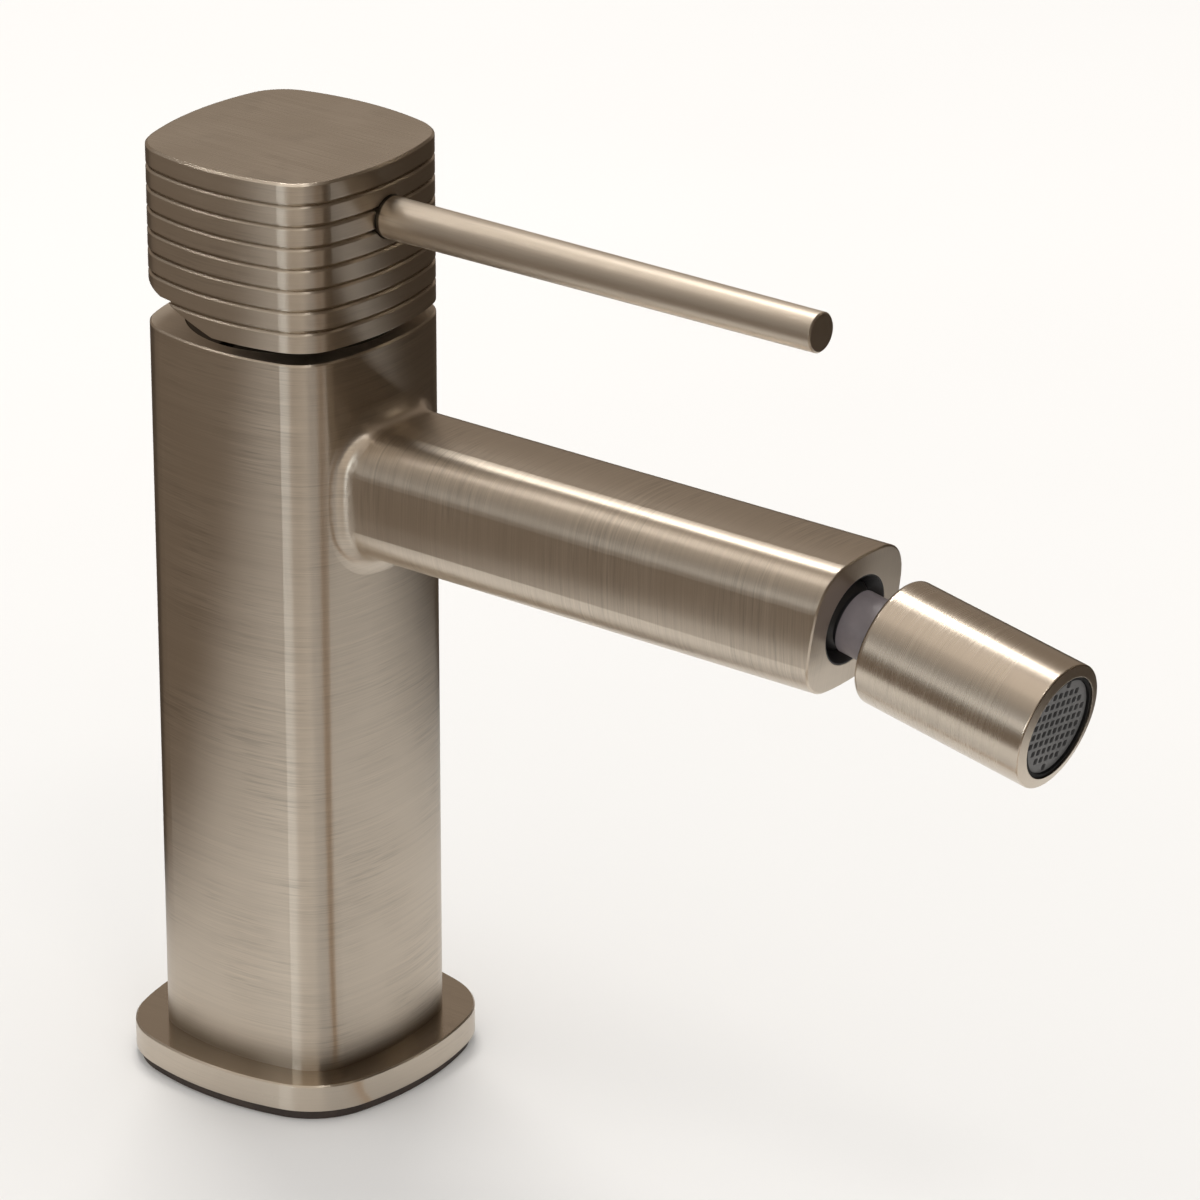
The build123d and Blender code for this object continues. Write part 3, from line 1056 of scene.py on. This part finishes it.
def outward(azimuth: float, elevation: float) -> Vector:
    """Direction from the mixer to a place round it.

    Args:
        azimuth: Degrees round the mixer, 0 in front of the spout and 90 at +X.
        elevation: Degrees above the horizon.

    Returns:
        Unit vector.
    """
    turn, rise = math.radians(azimuth), math.radians(elevation)
    level = math.cos(rise)
    return Vector((math.sin(turn) * level, -math.cos(turn) * level, math.sin(rise)))


@dataclass(frozen=True)
class Ring:
    """Level outline round the mixer: an ellipse, or a rounded rectangle with more squareness."""

    half_width: float
    half_depth: float
    height: float
    middle: tuple[float, float] = (0.0, 0.0)
    squareness: float = 1.0

    def spot(self, azimuth: float) -> Triple:
        """Point on the ring.

        Args:
            azimuth: Degrees round the mixer, 0 in front of the spout.

        Returns:
            The point.
        """
        way = outward(azimuth, 0.0)
        power = 1.0 / self.squareness
        across = self.half_width * math.copysign(abs(way.x) ** power, way.x)
        along = self.half_depth * math.copysign(abs(way.y) ** power, way.y)
        return (self.middle[0] + across, self.middle[1] + along, self.height)


@dataclass
class Card:
    """Glowing card between two rings, which only glossy reflections see."""

    name: str
    start: float
    end: float
    first: Ring
    second: Ring
    level: float
    colour: Triple
    top_level: float | None = None
    fade_height: float = 0.0
    foot_share: float = 0.1
    panel_turn: float = 6.0

    def strength(self, sheet: FinishSheet) -> Feed:
        """Level of the glow, from the card's foot to its top.

        Args:
            sheet: The material's sheet.

        Returns:
            The level as a constant or a socket.
        """
        if self.top_level is None:
            return self.level
        foot, top = self.first.height, self.second.height
        rise = sheet.vector("DOT_PRODUCT", sheet.place(), UP)
        level = sheet.spread(rise, (foot, top), self.level, self.top_level)
        if not self.fade_height:
            return level
        faded = sheet.spread(rise, (foot, self.fade_height), self.foot_share)
        return sheet.math("MULTIPLY", level, faded)

    def build(self) -> bpy.types.Object:
        """Build the card.

        Returns:
            The card object.
        """
        sheet = FinishSheet(self.name)
        sheet.close(sheet.glow(self.colour, self.strength(sheet)))
        panels = max(2, round((self.end - self.start) / self.panel_turn))
        turns = [self.start + (self.end - self.start) * k / panels for k in range(panels + 1)]
        corners = [ring.spot(turn) for ring in (self.first, self.second) for turn in turns]
        faces = [[k, k + 1, panels + k + 2, panels + k + 1] for k in range(panels)]
        mesh = bpy.data.meshes.new(self.name)
        mesh.from_pydata(corners, [], faces)
        mesh.materials.append(sheet.material)
        card = bpy.data.objects.new(self.name, mesh)
        bpy.context.scene.collection.objects.link(card)
        for rays in ("camera", "diffuse", "transmission", "volume_scatter", "shadow"):
            setattr(card, f"visible_{rays}", False)
        return card


@dataclass
class Camera:
    """Camera at the photograph's viewing angle."""

    azimuth: float = -52.852
    elevation: float = 23.487
    distance: float = 1204.557 * MM
    side_shift: float = 55.009 * MM
    aim_height: float = 90.649 * MM
    roll: float = 0.105
    focal: float = 6605.136
    frame_pixels: float = 1200.0
    sensor: float = 36.0

    def build(self) -> bpy.types.Object:
        """Build the camera and make it the scene's.

        Returns:
            The camera object.
        """
        back = outward(self.azimuth, self.elevation)
        turn = math.radians(self.azimuth)
        right = Vector((math.cos(turn), math.sin(turn), 0.0))
        up = back.cross(right)
        lean = math.radians(self.roll)
        leaned_right = right * math.cos(lean) + up * math.sin(lean)
        leaned_up = up * math.cos(lean) - right * math.sin(lean)
        aim = right * self.side_shift + Vector((0.0, 0.0, self.aim_height))
        data = bpy.data.cameras.new("camera")
        data.sensor_width = self.sensor
        data.lens = self.focal / self.frame_pixels * self.sensor
        camera = bpy.data.objects.new("camera", data)
        bpy.context.scene.collection.objects.link(camera)
        turned = Matrix((leaned_right, leaned_up, back)).transposed().to_4x4()
        camera.matrix_world = Matrix.Translation(aim + back * self.distance) @ turned
        bpy.context.scene.camera = camera
        return camera


@dataclass
class Studio:
    """Pale floor, soft lamps, pale world and the cards that only reflections show."""

    aim: Triple = (0.0, -0.04, 0.09)
    world_level: float = 0.8
    floor_radius: float = 12.0
    floor_drop: float = 0.02 * MM
    floor_sides: int = 96
    floor_colour: Triple = (0.84, 0.825, 0.805)
    floor_roughness: float = 0.8
    cloud: Noise = Noise(3.0, 3.0)
    cloud_tone: float = 0.015
    fade: Span = (0.6, 2.0)
    wall_colour: Triple = (1.0, 0.82, 0.66)
    wall_level: float = 0.29
    far_colour: Triple = (1.0, 0.9, 0.8)
    far_level: float = 0.85
    ground_colour: Triple = (1.0, 0.76, 0.56)
    tray: Ring = Ring(0.1775, 0.1925, 0.0002, (-0.0075, -0.1075), 3.0)
    skirting: Ring = Ring(2.0, 2.0, 0.0)
    cornice: Ring = Ring(2.0, 2.0, 3.0)
    rose: Ring = Ring(0.001, 0.001, 3.0)
    card_foot: Ring = Ring(1.9, 1.9, 0.0)
    card_middle: Ring = Ring(1.9, 1.9, 0.8)
    card_top: Ring = Ring(1.9, 1.9, 1.4)
    card_fade: float = 0.4
    corner: tuple[float, float] = (-0.012, -0.022)
    gap_near: float = 0.006
    gap_far: float = 0.3
    gap_rise: float = 0.0002

    def lamps(self) -> list[Lamp]:
        """Soft lamps round the mixer.

        Returns:
            The lamps.
        """
        return [
            Lamp("key_lamp", azimuth=138.0, elevation=63.0, width=0.5, height=0.35, watts=9.0),
            Lamp("back_lamp", azimuth=-160.0, elevation=50.0, width=0.5, height=0.3, watts=0.8),
            Lamp(
                "side_lamp",
                azimuth=60.0,
                elevation=36.0,
                width=0.5,
                height=0.4,
                watts=0.3,
                colour=(1.0, 0.85, 0.65),
            ),
            Lamp("front_lamp", azimuth=-33.0, elevation=63.0, width=0.25, height=0.25, watts=1.2),
        ]

    def room(self) -> list[Card]:
        """Cards that stand in for the floor, walls and ceiling of a room round the mixer.

        Returns:
            The cards.
        """
        ground, wall = (self.tray, self.skirting), (self.skirting, self.cornice)
        ceiling = (self.cornice, self.rose)
        return [
            Card("left_ground_card", -180.0, 0.0, *ground, 0.18, self.ground_colour),
            Card("right_ground_card", 0.0, 180.0, *ground, 0.06, self.ground_colour),
            Card("left_wall_card", -180.0, -40.0, *wall, 0.26, self.far_colour, top_level=0.6),
            Card("right_wall_card", -40.0, 90.0, *wall, 0.08, self.ground_colour),
            Card("back_wall_card", 90.0, 180.0, *wall, self.wall_level, self.wall_colour),
            Card("left_ceiling_card", -180.0, -40.0, *ceiling, self.far_level, self.far_colour),
            Card("right_ceiling_card", -40.0, 180.0, *ceiling, self.wall_level, self.wall_colour),
        ]

    def windows(self) -> list[Card]:
        """Brighter upright cards that draw the bands on the column and the head.

        Returns:
            The cards.
        """
        short, tall = (self.card_foot, self.card_middle), (self.card_foot, self.card_top)
        return [
            Card("bright_card", -95.0, -80.0, *short, 9.0, COOL_WHITE, 0.5, self.card_fade),
            Card("bright_edge_card", -80.0, -76.0, *short, 5.5, SOFT_WHITE, 0.5, self.card_fade),
            Card("shoulder_card", -104.0, -95.0, *short, 2.8, SOFT_WHITE, 0.4, self.card_fade),
            Card("soft_card", -112.0, -104.0, *tall, 1.0, SOFT_WHITE, 0.3, self.card_fade),
            Card("warm_card", -77.0, -40.0, *tall, 1.7, WARM_WHITE, 0.4, self.card_fade),
        ]

    def gaps(self) -> list[Card]:
        """Flat cards at the foot that draw the band between the column's two faces.

        Returns:
            The cards.
        """
        near, core, far = (
            Ring(reach, reach, self.gap_rise * steps, self.corner)
            for reach, steps in ((self.gap_near, 2), (self.gap_near, 3), (self.gap_far, 3))
        )
        return [
            Card("gap_card", -17.0, -3.0, near, far, 0.55, self.ground_colour),
            Card("gap_core_card", -12.0, -7.0, core, far, 0.35, self.ground_colour),
        ]

    def build(self) -> None:
        """Build the studio round the mixer."""
        for lamp in self.lamps():
            lamp.build(Vector(self.aim))
            log.info("placed %s", lamp.name)
        for card in self.room() + self.windows() + self.gaps():
            card.build()
            log.info("placed %s", card.name)
        self.floor()
        self.world()
        bpy.context.scene.view_settings.view_transform = "Standard"

    def paint(self) -> bpy.types.Material:
        """Build the floor's paint: pale, fading to white far off, and clear from below.

        Returns:
            The material.
        """
        sheet = FinishSheet("floor_paint")
        place = sheet.place()
        cloud = sheet.noise(place, self.cloud)
        tone = sheet.spread(cloud, NEARLY_ALL, 1.0 - self.cloud_tone, 1.0 + self.cloud_tone)
        paint = sheet.principled(
            Base_Color=sheet.scaled(self.floor_colour, tone),
            Roughness=self.floor_roughness,
            Specular_IOR_Level=0.0,
        )
        distant = sheet.spread(sheet.length(place), self.fade)
        share = sheet.math("MULTIPLY", sheet.seen(), distant)
        surface = sheet.mixed(share, paint, sheet.glow(WHITE, 1.0))
        below = sheet.add("ShaderNodeNewGeometry").outputs["Backfacing"]
        clear = sheet.add("ShaderNodeBsdfTransparent").outputs[0]
        sheet.close(sheet.mixed(below, surface, clear))
        return sheet.material

    def floor(self) -> None:
        """Lay the pale floor just under the gasket."""
        turns = [360.0 * k / self.floor_sides for k in range(self.floor_sides)]
        ring = Ring(self.floor_radius, self.floor_radius, 0.0)
        mesh = bpy.data.meshes.new("studio_floor")
        mesh.from_pydata([ring.spot(turn) for turn in turns], [], [list(range(self.floor_sides))])
        mesh.materials.append(self.paint())
        floor = bpy.data.objects.new("studio_floor", mesh)
        floor.location.z = -self.floor_drop
        bpy.context.scene.collection.objects.link(floor)

    def world(self) -> None:
        """Light the scene evenly, and show white to the camera and in reflections."""
        world = bpy.data.worlds.new("studio_world")
        bpy.context.scene.world = world
        world.use_nodes = True
        sheet = NodeSheet(world.node_tree)
        skies = []
        for strength in (self.world_level, 1.0):
            sky = sheet.add("ShaderNodeBackground")
            sheet.feed(sky.inputs["Color"], WHITE)
            sheet.feed(sky.inputs["Strength"], strength)
            skies.append(sky.outputs[0])
        sheet.close(sheet.mixed(sheet.seen(), *skies), "ShaderNodeOutputWorld")


def main() -> None:
    """Build the camera, the mixer's looks and the studio."""
    logging.basicConfig(level=logging.INFO, format="%(name)s: %(message)s")
    Camera().build()
    dresser = Dresser()
    cartridge = Cartridge()
    ColumnAndFoot().dress(dresser)
    Handle().dress(dresser)
    cartridge.dress(dresser)
    BallJoint().dress(dresser, cartridge)
    Nozzle().dress(dresser)
    Studio().build()


if __name__ == "__main__":
    main()
